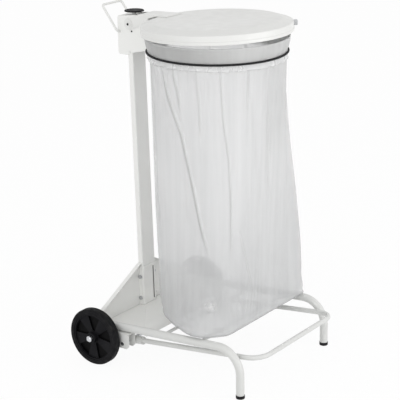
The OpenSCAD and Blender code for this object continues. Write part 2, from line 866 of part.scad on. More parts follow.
knob_d = 15.5;
knob_len = 10;
knob_turn = 36;
module lid_knob() {
    color("lightgray")
        on_hinge()
            translate([0, -hoop_y, lid_z + lip_h + knob_d / 2 + seat])
                rotate([0, 0, knob_turn - 90])
                    translate([lid_r - lip_out + seat / 2, 0, 0])
                        rotate([0, 90, 0]) {
                            cylinder(d = knob_d, h = knob_len - 2);
                            translate([0, 0, knob_len - 2]) cylinder(d1 = knob_d, d2 = knob_d - 4, h = 2);
                        }
}

pin_head_t = 3;
washer_t = 1.2;
washer_d = 25;
module hinge_pin() {
    end_x = arm_out_x + seat;
    color("dimgray")
        on_hinge() {
            bar_x(-end_x, end_x, hinge_y, hinge_z, hinge_pin_d);
            for (side = [-1, 1])
                mirrored(side) {
                    bar_x(end_x, end_x + washer_t, hinge_y, hinge_z, washer_d);
                    difference() {
                        bar_x(end_x, end_x + washer_t + pin_head_t, hinge_y, hinge_z, hinge_pin_d + 4);
                        translate([end_x + washer_t + 1, hinge_y, hinge_z])
                            rotate([0, 90, 0]) cylinder(d = hinge_pin_d - 2, h = pin_head_t, $fn = 6);
                    }
                }
        }
}

crank_t = 5;
crank_hub_r = 8.5;
crank_pin_half = 10;
// Angle of the crank below the level at rest
crank_rest = lid_open / 2;
module lid_crank() {
    py = hinge_y - crank_r * cos(crank_rest);
    pz = hinge_z - crank_r * sin(crank_rest);
    color("silver")
        difference() {
            union() {
                bar_x(-crank_t / 2, crank_t / 2, hinge_y, hinge_z, 2 * crank_hub_r);
                translate([0, hinge_y, hinge_z])
                    rotate([crank_rest, 0, 0])
                        translate([-crank_t / 2, -crank_r, -crank_pin_d / 2])
                            cube([crank_t, crank_r, crank_pin_d]);
                bar_x(-crank_pin_half, crank_pin_half, py, pz, crank_pin_d);
            }
            bar_x(-crank_t, crank_t, hinge_y, hinge_z, hinge_pin_d + 2 * run);
        }
}

// Pedal: bent rod in two sockets on a rocker shaft, with a lever to the push rod

arm_rise = atan2(pedal_z - rocker_z, pedal_reach - rocker_y);
arm_len = norm([pedal_z - rocker_z, pedal_reach - rocker_y]);
socket_len = 50;
socket_back = 9;
rod_start = 12;

module on_rocker() {
    translate([0, -rocker_y, rocker_z])
        rotate([-arm_rise, 0, 0])
            children();
}

module pedal_rod() {
    straight = arm_len - pedal_bend_r;
    color("white")
        on_rocker() {
            for (side = [-1, 1])
                mirrored(side) {
                    translate([pedal_half, -rod_start, 0])
                        rotate([90, 0, 0]) cylinder(d = pedal_d, h = straight - rod_start);
                    translate([pedal_half - pedal_bend_r, -straight, 0])
                        rotate([0, 0, -90])
                            rotate_extrude(angle = 90)
                                translate([pedal_bend_r, 0]) circle(d = pedal_d);
                }
            bar_x(-pedal_half + pedal_bend_r, pedal_half - pedal_bend_r, -arm_len, 0, pedal_d);
        }
}

module pedal_socket(side) {
    color("white")
        mirrored(side)
            on_rocker()
                translate([pedal_half, 0, 0])
                    difference() {
                        translate([0, socket_back, 0])
                            rotate([90, 0, 0]) cylinder(d = socket_d, h = socket_len);
                        translate([0, -rod_start + seat, 0])
                            rotate([90, 0, 0]) cylinder(d = pedal_d + 2 * run, h = socket_len);
                        bar_x(-socket_d, socket_d, 0, 0, rocker_d + 2 * run);
                    }
}

module rocker_shaft() {
    end_x = bracket_face_x + 1;
    color("silver") bar_x(-end_x, end_x, -rocker_y, rocker_z, rocker_d);
}

lever_t = 6;
lever_hub_r = 11;
module lift_lever() {
    rest = pedal_travel / 2;
    color("silver")
        difference() {
            union() {
                bar_x(-lever_t, lever_t, -rocker_y, rocker_z, 2 * lever_hub_r);
                translate([0, -rocker_y, rocker_z])
                    rotate([-rest, 0, 0]) {
                        yz(-lever_t / 2, lever_t / 2)
                            polygon([[0, -9], [0, 9], [lever_len, lever_tip_r], [lever_len, -lever_tip_r]]);
                        bar_x(-lever_t / 2, lever_t / 2, lever_len, 0, 2 * lever_tip_r);
                    }
            }
            bar_x(-20, 20, -rocker_y, rocker_z, rocker_d + 2 * run);
        }
}

module push_rod() {
    foot_z = rocker_z - lever_len * sin(pedal_travel / 2) + lever_tip_r + pad_gap;
    tine_z = hinge_z - crank_r * sin(crank_rest) - crank_pin_d / 2 - pad_gap;
    block_z = post_top + 6;
    block_y = post_y(block_z) + post_mid;
    pin_y = hinge_y - crank_r;
    tilt_len = (block_z + 5 - foot_z) / cos(post_lean);
    color("silver") {
        translate([0, rod_foot_y + (foot_z - deck_z(0)) * tan(post_lean), foot_z])
            rotate([-post_lean, 0, 0])
                cylinder(d = rod_d, h = tilt_len);
        translate([-9, pin_y - 4, block_z])
            cube([18, block_y - pin_y + 9, 10]);
        for (side = [-1, 1])
            mirrored(side)
                translate([5, pin_y - 4, block_z])
                    cube([4, 9, tine_z - block_z]);
    }
}

centred() rail(-1);  // rail_left
centred() rail(1);  // rail_right
centred() foot_cap(-1);  // foot_cap_left
centred() foot_cap(1);  // foot_cap_right
centred() rail_plugs();
centred() cross_rod(front_rod_y);  // cross_rod_front
centred() cross_rod(rear_rod_y);  // cross_rod_rear
centred() deck();
centred() axle_bracket(-1);  // axle_bracket_left
centred() axle_bracket(1);  // axle_bracket_right
centred() wheel_axle(-1);  // wheel_axle_left
centred() wheel_axle(1);  // wheel_axle_right
centred() axle_nuts();
centred() hub_cap(-1);  // hub_cap_left
centred() hub_cap(1);  // hub_cap_right
centred() wheel_disc(-1);  // wheel_disc_left
centred() wheel_disc(1);  // wheel_disc_right
centred() tyre(-1);  // tyre_left
centred() tyre(1);  // tyre_right
centred() post();
centred() post_strap();
centred() brace(-1);  // brace_left
centred() brace(1);  // brace_right
centred() brace_bolts();
centred() head_bracket();
centred() head_bolts();
centred() stop_disc();
centred() push_handle();
centred() bag_hoop();
centred() elastic_strap();
centred() bag();
centred() lid();
centred() lid_arm();
centred() lid_knob();
centred() hinge_pin();
centred() lid_crank();
centred() pedal_rod();
centred() pedal_socket(-1);  // pedal_socket_left
centred() pedal_socket(1);  // pedal_socket_right
centred() rocker_shaft();
centred() lift_lever();
centred() push_rod();
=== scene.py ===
"""Looks of the wheeled bin bag holder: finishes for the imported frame, a modelled bag with its folds and
hem, and the small trim that the frame's plain solids leave out.

Everything is in the frame's own axes, in metres: -Y is the pedal side, +Y the wheel side, z = 0 the floor.
"""

import math

import bmesh
import bpy
from mathutils import Matrix, Vector, noise


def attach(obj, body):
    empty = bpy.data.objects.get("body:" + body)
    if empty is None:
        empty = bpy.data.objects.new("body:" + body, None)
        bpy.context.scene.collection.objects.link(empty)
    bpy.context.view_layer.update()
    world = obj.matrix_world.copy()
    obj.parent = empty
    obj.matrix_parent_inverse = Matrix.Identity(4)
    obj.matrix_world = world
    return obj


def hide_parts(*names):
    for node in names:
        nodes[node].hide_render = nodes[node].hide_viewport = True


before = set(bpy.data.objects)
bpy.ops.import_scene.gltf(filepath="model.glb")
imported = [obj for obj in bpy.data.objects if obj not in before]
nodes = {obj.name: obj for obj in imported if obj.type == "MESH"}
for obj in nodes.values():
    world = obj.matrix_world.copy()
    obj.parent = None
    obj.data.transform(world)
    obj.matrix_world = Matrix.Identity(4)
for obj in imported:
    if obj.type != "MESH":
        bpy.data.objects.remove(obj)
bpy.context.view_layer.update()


# Camera.
# It stands in front of the left wheel, a little above the lid, and looks down at the holder through a
# long lens, as the photograph does.
CAMERA_PLACE = (-2.9043, -2.12345, 1.5897)
CAMERA_LENS = 124.79
PICTURE_RIGHT = Vector((0.5887, -0.8082, -0.0179))
PICTURE_UP = Vector((0.2559, 0.1653, 0.9525))

camera_data = bpy.data.cameras.new("camera")
camera_data.lens = CAMERA_LENS
camera_data.sensor_width = 36.0
camera_data.clip_end = 60.0
camera = bpy.data.objects.new("camera", camera_data)
bpy.context.scene.collection.objects.link(camera)
across = PICTURE_RIGHT.normalized()
away = across.cross(PICTURE_UP).normalized()
turned = Matrix((across, away.cross(across), away)).transposed().to_4x4()
camera.matrix_world = Matrix.Translation(CAMERA_PLACE) @ turned
bpy.context.scene.camera = camera


# Welded frame, post, head, hoop and lid.
# Mild steel tube, rod and folded sheet, welded and then powder coated white as one. The coat has a faint
# orange peel, drifts a little in tone, dulls where hands and bags rub it and gathers dust near the floor.
AXLE_Y = 0.20175
AXLE_Z = 0.08
WHITE_TONE = (0.805, 0.808, 0.79)
# The post, head and braces get a lighter copy of the coat as painted light where the bag and lid shade them,
# and the tubes near the floor get a darker copy as painted shade where the lamps light them strongly
PAINTED_LIGHT_TONE = (0.88, 0.882, 0.862)
PAINTED_SHADE_TONE = (0.69, 0.695, 0.68)
DUST_TONE = (0.52, 0.5, 0.46)
RUBBED_TONE = (0.6, 0.6, 0.58)
DUST_TOP = 0.14
PEEL_DEPTH = 0.00014


class Link:
    """One output of a shader node, which adds and multiplies as a number does."""

    def __init__(self, finish, socket):
        self.finish = finish
        self.socket = socket

    def work(self, operation, first, second=0.0):
        return self.finish.node("ShaderNodeMath", {"operation": operation}, {0: first, 1: second})

    def __add__(self, other):
        return self.work("ADD", self, other)

    def __sub__(self, other):
        return self.work("SUBTRACT", self, other)

    def __mul__(self, other):
        return self.work("MULTIPLY", self, other)

    def __pow__(self, other):
        return self.work("POWER", self, other)

    __radd__ = __add__
    __rmul__ = __mul__

    def sine(self):
        return self.work("SINE", self)

    def size(self):
        return self.work("ABSOLUTE", self)

    def ramp(self, low, high, at_low=0.0, at_high=1.0):
        """Carries low..high onto at_low..at_high, with soft ends."""
        return self.finish.node(
            "ShaderNodeMapRange",
            {"interpolation_type": "SMOOTHSTEP"},
            {0: self, 1: low, 2: high, 3: at_low, 4: at_high},
        )


class Finish:
    """A material being mixed: its shader, and the nodes that vary it over the surface."""

    def __init__(self, name, **sockets):
        self.material = bpy.data.materials.new(name)
        self.material.use_nodes = True
        self.tree = self.material.node_tree
        self.shader = self.tree.nodes["Principled BSDF"]
        self.coat(**sockets)

    def fill(self, socket, value):
        if isinstance(value, Link):
            self.tree.links.new(value.socket, socket)
        elif isinstance(value, tuple) and socket.type == "RGBA":
            socket.default_value = (*value, 1.0)
        else:
            socket.default_value = value

    def node(self, kind, settings=None, values=None, out=0):
        made = self.tree.nodes.new(kind)
        for key, value in (settings or {}).items():
            setattr(made, key, value)
        for key, value in (values or {}).items():
            self.fill(made.inputs[key], value)
        return Link(self, made.outputs[out])

    def coat(self, **sockets):
        for key, value in sockets.items():
            self.fill(self.shader.inputs[key.replace("_", " ")], value)

    def spot(self, axis=None, kind="Object"):
        where = self.node("ShaderNodeTexCoord", out=kind)
        return self.node("ShaderNodeSeparateXYZ", None, {0: where}, axis) if axis else where

    def cloud(self, scale, detail=2.0, rough=0.5, stretch=None, where=None):
        """Noise over the surface; stretch scales the pattern along each axis."""
        where = where or self.spot()
        if stretch:
            where = self.node("ShaderNodeMapping", None, {"Vector": where, "Scale": stretch})
        values = {"Vector": where, "Scale": scale, "Detail": detail, "Roughness": rough}
        return self.node("ShaderNodeTexNoise", None, values, "Fac")

    def mix(self, share, first, second):
        return self.node("ShaderNodeMix", {"data_type": "RGBA"}, {0: share, 6: first, 7: second}, 2)

    def dent(self, height, distance, strength=1.0, under=None):
        values = {"Height": height, "Distance": distance, "Strength": strength}
        if under:
            values["Normal"] = under
        return self.node("ShaderNodeBump", None, values)

    def turn_radius(self):
        """Distance from the wheels' axle, as seen from the side."""
        return ((self.spot("Y") - AXLE_Y) ** 2.0 + (self.spot("Z") - AXLE_Z) ** 2.0) ** 0.5


def powder_coat(name, tone, rough=0.36, relief=None):
    """White enamel; relief adds a piece's own marks over the orange peel."""
    finish = Finish(name, Coat_Roughness=0.22)
    drift = finish.cloud(6.0, 3.0).ramp(0.3, 0.7)
    clean = finish.mix(drift, tuple(t * 0.972 for t in tone), tone)
    low = finish.spot("Z").ramp(0.0, DUST_TOP, 0.17, 0.02)
    dust = low * finish.cloud(24.0, 5.0, 0.6).ramp(0.38, 0.7)
    rub = finish.cloud(11.0, 5.0, 0.65).ramp(0.6, 0.8, 0.0, 0.025)
    dusty = finish.mix(dust, clean, DUST_TONE)
    finish.coat(Base_Color=finish.mix(rub, dusty, RUBBED_TONE))
    finish.coat(Roughness=finish.cloud(38.0).ramp(0.3, 0.7, rough - 0.06, rough + 0.1))
    finish.coat(Coat_Weight=finish.cloud(5.0).ramp(0.3, 0.7, 0.05, 0.2))
    peel = finish.dent(finish.cloud(540.0, 1.0), PEEL_DEPTH, 0.5)
    finish.coat(Normal=relief(finish, peel) if relief else peel)
    return finish.material


def dress(piece, material):
    """Gives a piece its finish and the name of its material slot."""
    piece.data.materials.clear()
    piece.data.materials.append(material)


white = powder_coat("white_enamel", WHITE_TONE)
# painted light: a lighter copy of the white coat for the shaded post, head and braces
full = powder_coat("painted_light_enamel", PAINTED_LIGHT_TONE)
# painted shade: a darker copy of the white coat for the rails, cross rods and pedal
painted_shade_coat = powder_coat("painted_shade_enamel", PAINTED_SHADE_TONE)
for coat, names in (
    (white, "axle_bracket_left axle_bracket_right head_bolts push_handle bag_hoop lid_arm"),
    (full, "post post_strap head_bracket brace_left brace_right"),
    (painted_shade_coat, "rail_left rail_right cross_rod_front cross_rod_rear"),
    (painted_shade_coat, "pedal_rod pedal_socket_left pedal_socket_right"),
):
    for name in names.split():
        dress(nodes[name], coat)


# Deck plate.
# A folded sheet welded under the rails, with a rolled front edge. A shallow crease from the folding
# brake runs from the post's foot to the left rail, and the coat is scuffed where the bag is dragged.
# The deck takes a lighter copy of the coat as painted light, where the bag and post shade it.
DECK_PAINTED_LIGHT_TONE = (0.9, 0.902, 0.88)
CREASE_START, CREASE_END = (-0.028, 0.194), (-0.199, 0.066)
CREASE_HALF_WIDTH, CREASE_HEIGHT = 0.0035, 0.0008


def deck_relief(finish, under):
    start, end = CREASE_START, CREASE_END
    run = math.hypot(end[0] - start[0], end[1] - start[1])
    ux, uy = (end[0] - start[0]) / run, (end[1] - start[1]) / run
    aside = (finish.spot("X") - start[0]) * uy - (finish.spot("Y") - start[1]) * ux
    crease = aside.size().ramp(0.0, CREASE_HALF_WIDTH, 1.0, 0.0)
    return finish.dent(crease, CREASE_HEIGHT, 0.7, under=under)


dress(nodes["deck"], powder_coat("deck_enamel", DECK_PAINTED_LIGHT_TONE, 0.4, deck_relief))


# Lid.
# A spun or pressed steel pan with a rolled lip, powder coated like the frame. The press leaves very
# faint rings round its middle, and the top carries the fine scratches of use.
# The lid takes a darker copy of the frame's coat as painted shade, since its top gets the most light.
LID_PAINTED_SHADE_TONE = (0.772, 0.775, 0.757)
LID_CENTRE_Y = -0.048
RING_TURNS = 420.0
RING_HEIGHT = 0.00006


def lid_relief(finish, under):
    away = (finish.spot("X") ** 2.0 + (finish.spot("Y") - LID_CENTRE_Y) ** 2.0) ** 0.5
    rings = (away * RING_TURNS).sine() * 0.5 + 0.5
    spun = finish.dent(rings, RING_HEIGHT, 0.5, under=under)
    scratch = finish.cloud(60.0, 6.0, 0.8, stretch=(1.0, 9.0, 1.0)).ramp(0.62, 0.66)
    return finish.dent(scratch, 0.00004, 0.4, under=spun)


dress(nodes["lid"], powder_coat("lid_enamel", LID_PAINTED_SHADE_TONE, 0.34, lid_relief))


# Zinc plated fittings.
# Axles, nuts, hub caps, bolts, rocker shaft, lever, push rod and lid crank are bright zinc plated steel:
# cloudy metal with fine drawn lines. The hinge pin is plated too, and enamelled over with the lid's arm.
def zinc_plate(name, tone, rough=0.3):
    finish = Finish(name, Metallic=1.0)
    spangle = finish.cloud(95.0, 4.0, 0.6).ramp(0.3, 0.72)
    finish.coat(Base_Color=finish.mix(spangle, tuple(t * 0.8 for t in tone), tone))
    finish.coat(Roughness=finish.cloud(160.0).ramp(0.25, 0.75, rough - 0.08, rough + 0.12))
    finish.coat(Normal=finish.dent(finish.cloud(1500.0, 2.0, stretch=(0.05, 1, 1)), 0.0001, 0.4))
    return finish.material


ZINC_TONE = (0.66, 0.67, 0.69)
zinc = zinc_plate("zinc_plate", ZINC_TONE)
for name in (
    "wheel_axle_left wheel_axle_right axle_nuts hub_cap_left hub_cap_right brace_bolts "
    "rocker_shaft lift_lever push_rod lid_crank"
).split():
    dress(nodes[name], zinc)
dress(nodes["hinge_pin"], powder_coat("painted_pin", WHITE_TONE))


# Foot caps and tube plugs.
# Black polyethylene, moulded with a fine grain, and paler where the foot has slid over the floor.
def moulded(name, tone, rough, grain=900.0, depth=0.0001, shine=0.4):
    finish = Finish(name, Specular_IOR_Level=shine)
    bloom = finish.cloud(30.0, 4.0).ramp(0.35, 0.75)
    finish.coat(Base_Color=finish.mix(bloom, tone, tuple(min(1, t * 1.3 + 0.005) for t in tone)))
    finish.coat(Roughness=finish.cloud(60.0).ramp(0.3, 0.7, rough - 0.06, rough + 0.08))
    finish.coat(Normal=finish.dent(finish.cloud(grain, 2.0), depth, 0.6))
    return finish.material


black = moulded("black_plastic", (0.012, 0.012, 0.013), 0.5, shine=0.15)
for name in ("foot_cap_left", "foot_cap_right", "rail_plugs"):
    dress(nodes[name], black)


# Wheels.
# A black nylon disc with five shallow pockets carries a solid rubber tyre. The disc is satin; the tyre
# is matt, with moulded rings on its side walls, grooves round its tread, and dust where it rolls.
def wheel_nylon():
    """Satin spokes and rim, and pocket floors kept near black as painted shade in the recesses."""
    finish = Finish("wheel_nylon", Specular_IOR_Level=0.07)
    raised = finish.spot("X").size().ramp(0.2512, 0.2535)
    bloom = finish.cloud(30.0, 4.0).ramp(0.35, 0.75)
    satin = finish.mix(bloom, (0.008, 0.008, 0.0095), (0.014, 0.014, 0.0155))
    # painted shade: the pocket floors, below the spokes' face, are near black
    finish.coat(Base_Color=finish.mix(raised, (0.0018, 0.0018, 0.002), satin))
    finish.coat(Roughness=finish.cloud(60.0).ramp(0.3, 0.7, 0.4, 0.55))
    finish.coat(Normal=finish.dent(finish.cloud(900.0, 2.0), 0.0001, 0.6))
    return finish.material


def tyre_rubber():
    finish = Finish("tyre_rubber", Specular_IOR_Level=0.12)
    scuff = finish.cloud(70.0, 6.0, 0.7).ramp(0.48, 0.78)
    away = finish.turn_radius()
    worn = away.ramp(0.0772, 0.0798) * 0.5
    black_rubber = finish.mix(scuff, (0.008, 0.008, 0.009), (0.022, 0.0215, 0.021))
    finish.coat(Base_Color=finish.mix(worn * scuff, black_rubber, (0.06, 0.057, 0.052)))
    finish.coat(Roughness=finish.cloud(45.0).ramp(0.3, 0.7, 0.55, 0.8))
    rings = finish.dent((away * 1700.0).sine() * 0.5 + 0.5, 0.0005, 0.8)
    grooves = finish.dent((finish.spot("X") * 900.0).sine().ramp(0.5, 0.95), 0.0006, 0.6, under=rings)
    finish.coat(Normal=finish.dent(finish.cloud(1300.0, 3.0), 0.00015, 0.7, under=grooves))
    return finish.material


wheel_plastic = wheel_nylon()
tyre = tyre_rubber()
for side in ("left", "right"):
    dress(nodes["wheel_disc_" + side], wheel_plastic)
    dress(nodes["tyre_" + side], tyre)


# Stop disc and lid knob.
# The disc is black rubber on a pale stem and stops the lid. The knob is grey moulded plastic.
STEM_TOP = 0.9385


def stop_rubber():
    finish = Finish("stop_rubber", Specular_IOR_Level=0.1)
    above = finish.spot("Z").ramp(STEM_TOP, STEM_TOP + 0.0003)
    finish.coat(Base_Color=finish.mix(above, (0.7, 0.7, 0.69), (0.008, 0.008, 0.009)))
    finish.coat(Roughness=finish.cloud(60.0).ramp(0.3, 0.7, 0.5, 0.66))
    finish.coat(Normal=finish.dent(finish.cloud(500.0, 3.0), 0.00015, 0.6))
    return finish.material


dress(nodes["stop_disc"], stop_rubber())
dress(nodes["lid_knob"], moulded("grey_plastic", (0.5, 0.51, 0.52), 0.45))


# Small fittings on the head.
# A black plug sits in the socket at each end of the hinge pin as painted shade in its hollow, and a small
# black screw sits below it.
# Each is a turned plug with a rolled edge.
HINGE_Y, HINGE_Z = AXLE_Y + 0.019, 0.909
PIN_END_X, CAP_R, CAP_DEEP = 0.037, 0.0036, 0.0026
CHEEK_X, SCREW_Y, SCREW_Z, SCREW_R, SCREW_DEEP = 0.0311, 0.213, 0.8895, 0.0022, 0.0022


def deselect_all():
    for piece in bpy.context.selected_objects:
        piece.select_set(False)


def plug_piece(name, place, radius, depth, body):
    """A short black plug whose flat face looks along X, out of the side it is on."""
    side = math.copysign(1.0, place[0])
    deselect_all()
    bpy.ops.mesh.primitive_cylinder_add(
        vertices=24, radius=radius, depth=depth, location=place, rotation=(0, math.pi / 2, 0)
    )
    piece = bpy.context.active_object
    piece.name = name
    bpy.ops.object.transform_apply()
    edge = piece.modifiers.new("edge", "BEVEL")
    edge.width = radius * 0.25
    edge.segments = 3
    bpy.ops.object.modifier_apply(modifier=edge.name)
    bpy.ops.object.mode_set(mode="EDIT")
    bpy.ops.mesh.select_mode(type="FACE")
    bpy.ops.mesh.select_all(action="DESELECT")
    bpy.ops.object.mode_set(mode="OBJECT")
    for face in piece.data.polygons:
        face.select = face.normal.x * side > 0.98
    bpy.ops.object.mode_set(mode="EDIT")
    bpy.ops.mesh.inset(thickness=radius * 0.3, depth=-depth * 0.12)
    bpy.ops.object.mode_set(mode="OBJECT")
    piece.data.shade_smooth()
    bpy.ops.object.shade_smooth_by_angle(angle=math.radians(40))
    dress(piece, black)
    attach(piece, body)


for side, name in ((-1, "left"), (1, "right")):
    pin_end = (side * PIN_END_X, HINGE_Y, HINGE_Z)
    screw = (side * CHEEK_X, SCREW_Y, SCREW_Z)
    # painted shade: a black plug in the hinge pin's socket
    plug_piece("hinge_socket_shade_" + name, pin_end, CAP_R, CAP_DEEP, "lid")
    plug_piece("head_screw_" + name, screw, SCREW_R, SCREW_DEEP, "frame")


# Weld beads.
# Where the two cross rods meet the rails the welder left a small rippled bead, which the powder coat
# covers. Each is a ring round its rod, its section stirred by noise.
RAIL_SLOPE = 3.55
FRONT_Y, FRONT_Z = AXLE_Y - 0.456, 0.133
RODS = (("front", AXLE_Y - 0.325), ("rear", AXLE_Y - 0.206))
BEAD_X, BEAD_R, BEAD_T = 0.1968, 0.0052, 0.0014


def weld_bead(name, place, radius, thick):
    """A bead round a rod that runs along X, its ripples laid round it by the torch."""
    deselect_all()
    bpy.ops.mesh.primitive_torus_add(
        major_segments=56, minor_segments=8, major_radius=radius, minor_radius=thick,
        location=place, rotation=(0, math.pi / 2, 0),
    )  # fmt: skip
    bead = bpy.context.active_object
    bead.name = name
    bpy.ops.object.transform_apply()
    centre = Vector(place)
    for v in bead.data.vertices:
        arm = v.co - centre
        turn = math.atan2(arm.y, arm.z)
        ripple = 0.1 * math.sin(turn * 17) + 0.22 * noise.noise(v.co * 160.0)
        around = Vector((0, arm.y, arm.z)).normalized() * radius
        v.co = centre + around + (arm - around) * (1 + ripple)
    bead.data.shade_smooth()
    dress(bead, white)
    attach(bead, "frame")


def rail_height(y):
    """Height of the rails' middle at a place along them."""
    return FRONT_Z - math.tan(math.radians(RAIL_SLOPE)) * (y - FRONT_Y)


for side, name in ((-1, "left"), (1, "right")):
    for rod, y in RODS:
        weld_bead(f"weld_{rod}_{name}", (side * BEAD_X, y, rail_height(y)), BEAD_R, BEAD_T)


# Bag.
# One milky polythene film, open at the top: it rises inside the hoop, folds over its edge and is held
# outside by the elastic strap, with its hem ruffled below. It hangs round at the neck and nearly
# rectangular at the bottom, where it is gathered and sealed in a small crumpled knot.
HOOP_Y = AXLE_Y - 0.25
HOOP_Z, HOOP_H, HOOP_R, HOOP_TAPER, HOOP_T = 0.852, 0.048, 0.179, 0.011, 0.0015
NECK_R = HOOP_R - HOOP_T - 0.0012
BOTTOM_Z = 0.1425
KNOT_X = -0.049
FRONT_EDGE = 0.139
# The crumpled corner knot on the body: its angle and height
CORNER_ANGLE, CORNER_Z = 208, 0.226
# The four angles that the folds are counted from: the full corner, the post, the shaded hollow at the
# front and the low side of the strap
FULL_ANGLE, POST_ANGLE, HOLLOW_ANGLE, LOW_STRAP_ANGLE = -48, 90, -76, -118
FILM_T = 0.0003
BOTTOM_ROWS, BODY_ROWS, HOOP_ROWS, LIP_ROWS, COLLAR_ROWS = 16, 104, 3, 4, 20
# Columns stand closer on the sides with the long creases: (angle from, angle to, number)
COLUMNS = ((130, 330, 232), (330, 490, 92))
# Outline of the bottom from above, as angle and radius; its front is straight
BOTTOM_PLAN = (
    (-180, 0.195), (-165, 0.227), (-157, 0.233), (-148, 0.222), (-139.5, 0.214),
    (-32, 0.260), (-26, 0.250), (-15, 0.238), (0, 0.222), (20, 0.196), (45, 0.168), (70, 0.155),
    (90, 0.152), (110, 0.155), (135, 0.163), (161, 0.172), (180, 0.195),
)  # fmt: skip
# How far the film has spread from the round neck towards the bottom's outline, by height: on the side
# with the full corner, and on the slack side next to the post
SPREAD_FULL = (
    (0.142, 1.0), (0.204, 0.96), (0.277, 0.91), (0.364, 0.83), (0.45, 0.73), (0.59, 0.50), (0.727, 0.32),
    (0.80, 0.17), (0.852, 0.0),
)  # fmt: skip
SPREAD_SLACK = (
    (0.142, 0.9), (0.18, 0.62), (0.277, 0.45), (0.364, 0.27), (0.45, 0.12), (0.59, 0.07), (0.727, 0.02),
    (0.852, 0.0),
)  # fmt: skip
# Long creases: (height, angle) from the top down, how far they stand out, how strong their painted shade is
CREASES = (
    (((0.845, 161), (0.75, 173), (0.673, 183), (0.569, 191), (0.453, 199), (0.34, 208)), 0.0045, 1.0),
    (((0.845, 175), (0.784, 180), (0.69, 184)), 0.003, 0.8),
    (((0.845, 197), (0.769, 199), (0.63, 201)), 0.002, 0.55),
    (((0.85, 217), (0.718, 219), (0.612, 223), (0.505, 224), (0.33, 223)), 0.003, 0.6),
    (((0.85, 241), (0.777, 240), (0.68, 239)), 0.002, 0.5),
    (((0.42, 231), (0.307, 241), (0.20, 252)), 0.003, 0.35),
    (((0.85, 267), (0.62, 269), (0.45, 274)), -0.005, 0.3),
    (((0.85, 302), (0.6, 308), (0.4, 314)), 0.005, 0.3),
    (((0.85, 332), (0.6, 334), (0.3, 338)), -0.004, 0.4),
    (((0.85, 10), (0.6, 6), (0.35, 2)), 0.004, 0.6),
    (((0.85, 42), (0.6, 47), (0.3, 52)), -0.004, 0.5),
    (((0.85, 75), (0.55, 70), (0.25, 66)), 0.004, 0.5),
    (((0.85, 105), (0.6, 112), (0.3, 118)), -0.004, 0.4),
    (((0.85, 138), (0.6, 142), (0.35, 150)), 0.003, 0.5),
)


def smooth(t):
    t = min(1.0, max(0.0, t))
    return t * t * (3 - 2 * t)


def read(table, x):
    """Straight-line reading of a table of (x, value) with rising x."""
    for (x0, v0), (x1, v1) in zip(table, table[1:]):
        if x <= x1:
            return v0 + (v1 - v0) * (x - x0) / (x1 - x0)
    return table[-1][1]


def bottom_radius(angle):
    """Radius of the bottom's outline at an angle in degrees, with its corners rounded a little."""
    total = 0.0
    for step in (-3.0, -1.5, 0.0, 1.5, 3.0):
        a = (angle + step + 180) % 360 - 180
        straight = -139.5 < a < -32
        total += FRONT_EDGE / abs(math.sin(math.radians(a))) if straight else read(BOTTOM_PLAN, a)
    return total / 5


def creases_at(angle, z):
    """How far the creases push the film out, and how strong the painted shade along them is."""
    push = dark = 0.0
    for path, out, tone in CREASES:
        top, low = path[0][0], path[-1][0]
        if not low < z < top:
            continue
        line = read(tuple(reversed(path)), z)
        aside = ((angle - line + 180) % 360 - 180) * math.radians(0.19)
        if abs(aside) > 0.06:
            continue
        ends = smooth((top - z) / 0.012) * smooth((z - low) / 0.09)
        # a steep inner side and a long soft outer side, as a hanging fold has
        reach = 0.005 if aside > 0 else 0.022
        push += out * ends * math.exp(-((aside / reach) ** 2))
        dark += tone * ends * math.exp(-((aside / 0.0021) ** 2))
    return push, min(1.0, dark)


def elastic_height(angle):
    """The strap has slipped a little lower round the front than at the post."""
    slip = 1 + math.cos(math.radians(angle - LOW_STRAP_ANGLE))
    return HOOP_Z + 0.0108 - 0.0019 * slip


def hoop_radius(z):
    return HOOP_R + HOOP_TAPER * (z - HOOP_Z) / HOOP_H


def body_place(angle, u):
    """The hanging film: u is 0 at the bottom's edge and 1 at the hoop."""
    z = BOTTOM_Z + (HOOP_Z - BOTTOM_Z) * u
    wide = bottom_radius(angle)
    a = math.radians(angle)
    ca, sa = math.cos(a), math.sin(a)
    fade = smooth(u / 0.1) * smooth((1 - u) / 0.05)
    full = smooth(0.5 + 0.55 * math.cos(a - math.radians(FULL_ANGLE)))
    spread = read(SPREAD_FULL, z) * full + read(SPREAD_SLACK, z) * (1 - full)
    front = smooth((-sa - 0.2) / 0.5) * (1 - full)
    spread += (smooth(1 - u) - spread) * front
    radius = NECK_R + (wide - NECK_R) * spread
    wave = 0.005 * noise.noise((2.6 * ca, 2.6 * sa, 0.9 * z))
    gather = 0.002 * noise.noise((11 * ca, 11 * sa, 1.1 * z + 5)) * (0.3 + 0.9 * u * u)
    crush = 0.0035 * noise.fractal((6 * ca, 6 * sa, 9 * z), 0.8, 2.1, 3) * smooth((0.36 - u) / 0.3)
    push, dark = creases_at(angle, z)
    # painted shade in a soft hollow down the front of the bag
    toward_shade = math.cos(a - math.radians(HOLLOW_ANGLE))
    band = smooth((toward_shade - 0.93) / 0.03) * smooth((z - 0.56) / 0.1)
    dark = max(dark, 0.2 * band * smooth((0.845 - z) / 0.02))
    turn = (angle - CORNER_ANGLE + 180) % 360 - 180
    ragged = 1 + 0.9 * noise.noise((22 * ca, 22 * sa, 90 * z))
    knot = math.exp(-((turn * 0.0035 / 0.013) ** 2 + ((z - CORNER_Z) / 0.011) ** 2) * ragged)
    push += 0.008 * knot * (0.3 + noise.noise((55 * ca, 55 * sa, 260 * z)))
    radius += fade * (wave + gather + crush - 0.001) + push * smooth((1 - u) / 0.02)
    # the edge of the bottom is a sealed fold, drawn in a little just above it
    radius -= 0.0025 * smooth((0.035 - u) / 0.02) * smooth(u / 0.01)
    radius = min(radius, max(NECK_R, wide) + 0.002 + 0.004 * full)
    # painted shade along the bottom's edge; the knot also carries a painted highlight through its crush
    # value
    return (radius * ca, radius * sa, z), dark + 0.35 * smooth((0.012 - u) / 0.012), knot


